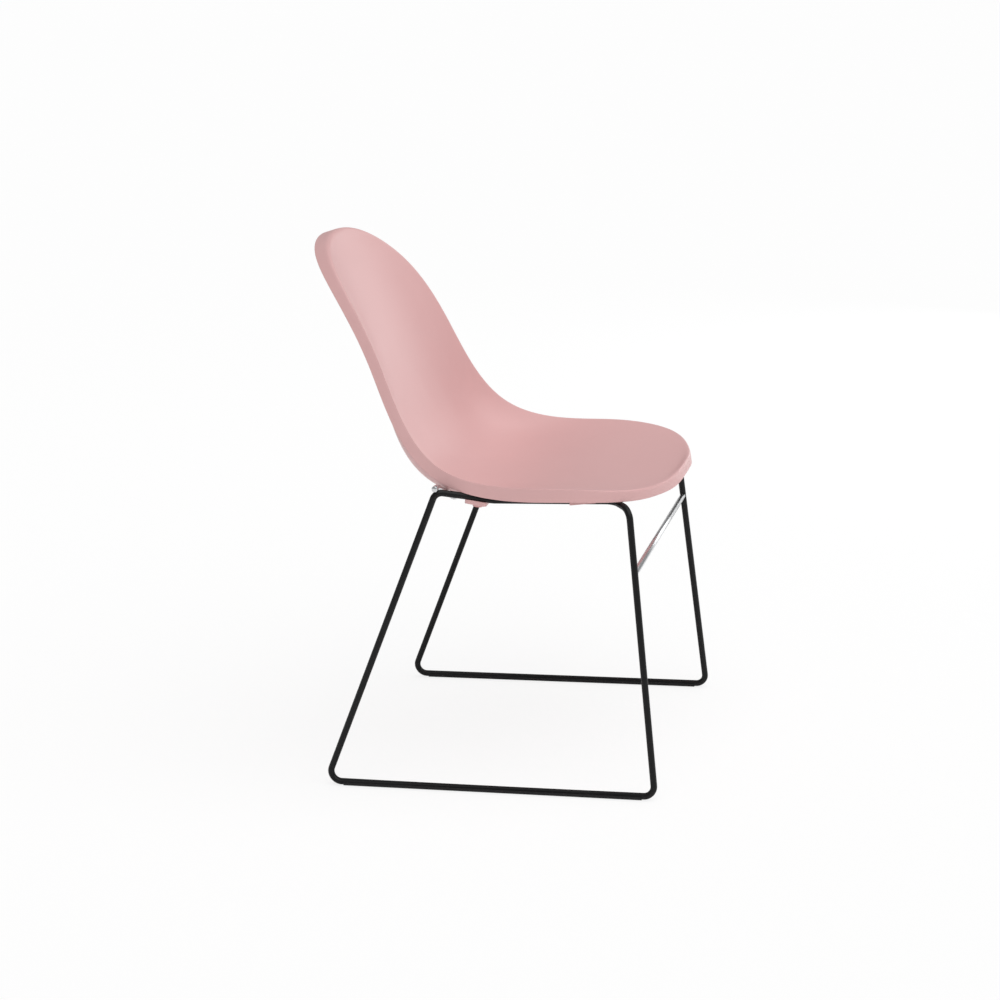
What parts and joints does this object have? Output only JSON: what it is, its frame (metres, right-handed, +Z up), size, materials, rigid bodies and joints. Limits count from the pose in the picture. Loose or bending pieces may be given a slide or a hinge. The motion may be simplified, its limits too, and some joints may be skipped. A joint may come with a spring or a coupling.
{
  "type": "moulded plastic shell chair on a rod sled base",
  "caption": "Moulded plastic shell chair in dusty pink, seat and back in one piece, on a bent black steel rod sled base with bright cross bars.",
  "frame": {"origin": "on the floor under the middle of the chair's overall box", "axes": "+Z up, -Y the way the sitter faces, +X to the sitter's left"},
  "size_m": [0.4924, 0.5607, 0.8226],
  "materials": {
    "shell_plastic": "fine matt texture, dusty pink, moulded through",
    "black_steel": "satin black powder coat",
    "bright_steel": "bright plated",
    "zinc_screw": "zinc plated",
    "glide_plastic": "matt black"
  },
  "bodies": {
    "root": {"seat_shell": "shell_plastic", "left_rear_clamp": "shell_plastic", "right_rear_clamp": "shell_plastic", "left_sled_loop": "black_steel", "right_sled_loop": "black_steel", "front_stretcher": "bright_steel", "rear_crossbar": "bright_steel", "left_clamp_screw": "zinc_screw", "right_clamp_screw": "zinc_screw", "left_glide_strip": "glide_plastic", "right_glide_strip": "glide_plastic"}
  },
  "joints": []
}
